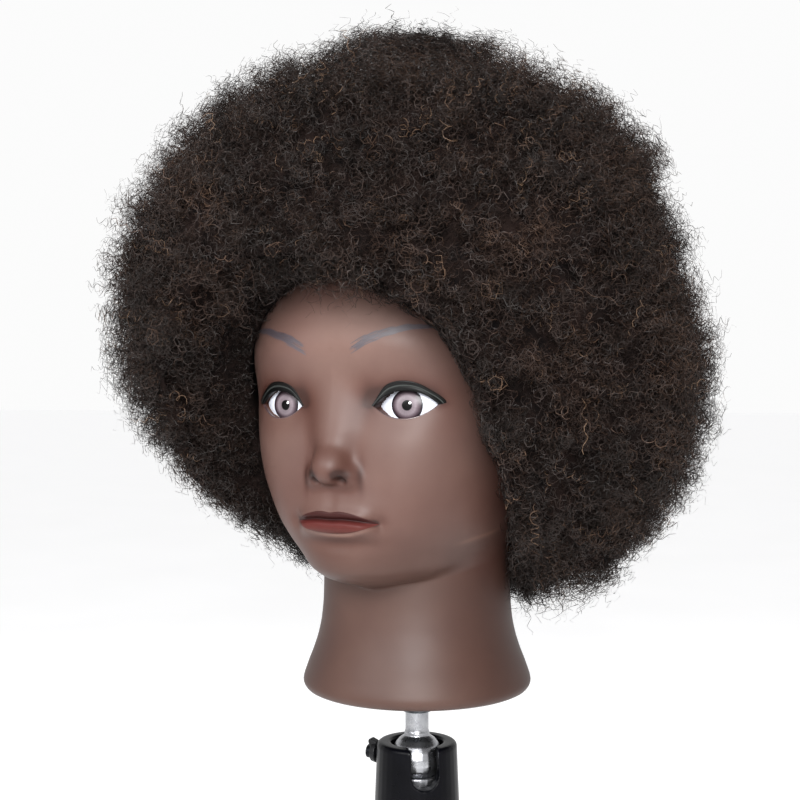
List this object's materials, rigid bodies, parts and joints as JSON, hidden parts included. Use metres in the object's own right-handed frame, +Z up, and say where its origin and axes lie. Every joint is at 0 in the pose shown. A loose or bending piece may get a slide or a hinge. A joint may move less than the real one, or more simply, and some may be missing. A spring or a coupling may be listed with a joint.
{
  "type": "mannequin training head",
  "caption": "Hairdressing training head with a dark-skinned painted face and a round afro, on a slotted ball-joint socket, post and table clamp.",
  "frame": {"origin": "on the table's surface under the clamp's upper jaw, on the post's axis", "axes": "+Z up along the post; -Y the way the face looks; +X the mannequin's left side"},
  "size_m": [0.344, 0.3426, 0.8155],
  "materials": {
    "skin_vinyl": "satin dark brown vinyl skin with painted eyes, brows and lips",
    "core_foam": "rigid polyurethane foam filling",
    "hair_fibre": "tightly curled brown-black hair with a few lighter brown curls",
    "black_plastic": "moulded black plastic",
    "white_nylon": "natural nylon",
    "zinc_steel": "zinc-plated steel",
    "polished_steel": "turned and polished steel",
    "sleeve_black": "satin black coated aluminium",
    "frame_black": "black powder-coated casting",
    "post_black": "black powder-coated steel tube",
    "rubber": "black rubber"
  },
  "bodies": {
    "stand": {"clamp_frame": "frame_black", "jaw_pad": "rubber", "post_grub_screw_left": "zinc_steel", "post_grub_screw_right": "zinc_steel", "post_tube": "post_black", "socket_sleeve": "sleeve_black", "sleeve_screw_front": "zinc_steel", "sleeve_screw_rear": "zinc_steel", "post_adapter": "black_plastic", "seat_spring": "zinc_steel", "ball_seat": "polished_steel"},
    "lock_pad": {"pressure_pad": "white_nylon"},
    "lock_screw": {"lock_screw": "zinc_steel", "lock_knob": "black_plastic"},
    "clamp_foot": {"swivel_foot": "zinc_steel", "foot_pad": "rubber"},
    "clamp_screw": {"clamp_screw": "zinc_steel"},
    "tommy_bar": {"tommy_bar": "zinc_steel", "bar_cap_left": "black_plastic", "bar_cap_right": "black_plastic"},
    "ball": {"ball_stud": "polished_steel", "stud_flange": "zinc_steel", "thrust_washer": "white_nylon", "retaining_washer": "zinc_steel", "retaining_nut": "zinc_steel"},
    "head": {"head_skin": "skin_vinyl", "head_core": "core_foam", "neck_plug": "black_plastic", "neck_bush": "white_nylon", "base_plate": "black_plastic", "plate_screw_1": "zinc_steel", "plate_screw_2": "zinc_steel", "plate_screw_3": "zinc_steel", "hair_afro": "hair_fibre"}
  },
  "joints": [
    {"name": "ball_tilt", "type": "hinge", "parent": "stand", "child": "ball", "pos_m": [0, 0, 0.205], "axis": [0.788, 0.6157, 0], "range_deg": [-30, 90]},
    {"name": "head_spin", "type": "hinge", "parent": "ball", "child": "head", "pos_m": [0, 0, 0.2485], "axis": [0, 0, 1], "continuous": true},
    {"name": "lock_travel", "type": "slide", "parent": "stand", "child": "lock_pad", "axis": [-1, 0, 0], "range_m": [0, 0.003]},
    {"name": "lock_turn", "type": "hinge", "parent": "lock_pad", "child": "lock_screw", "pos_m": [0, 0, 0.205], "axis": [-1, 0, 0], "range_deg": [0, 721]},
    {"name": "clamp_travel", "type": "slide", "parent": "stand", "child": "clamp_foot", "axis": [0, 0, 1], "range_m": [-0.035, 0.022]},
    {"name": "clamp_turn", "type": "hinge", "parent": "clamp_foot", "child": "clamp_screw", "pos_m": [0, 0, -0.09], "axis": [0, 0, 1], "range_deg": [-4201, 2641]},
    {"name": "bar_slide", "type": "slide", "parent": "clamp_screw", "child": "tommy_bar", "axis": [1, 0, 0], "range_m": [-0.031, 0.031]}
  ],
  "couplings": [
    {"joint": "lock_turn", "follows": "lock_travel", "rad_per_m": 4188.8},
    {"joint": "clamp_turn", "follows": "clamp_travel", "rad_per_m": 2094.4}
  ]
}
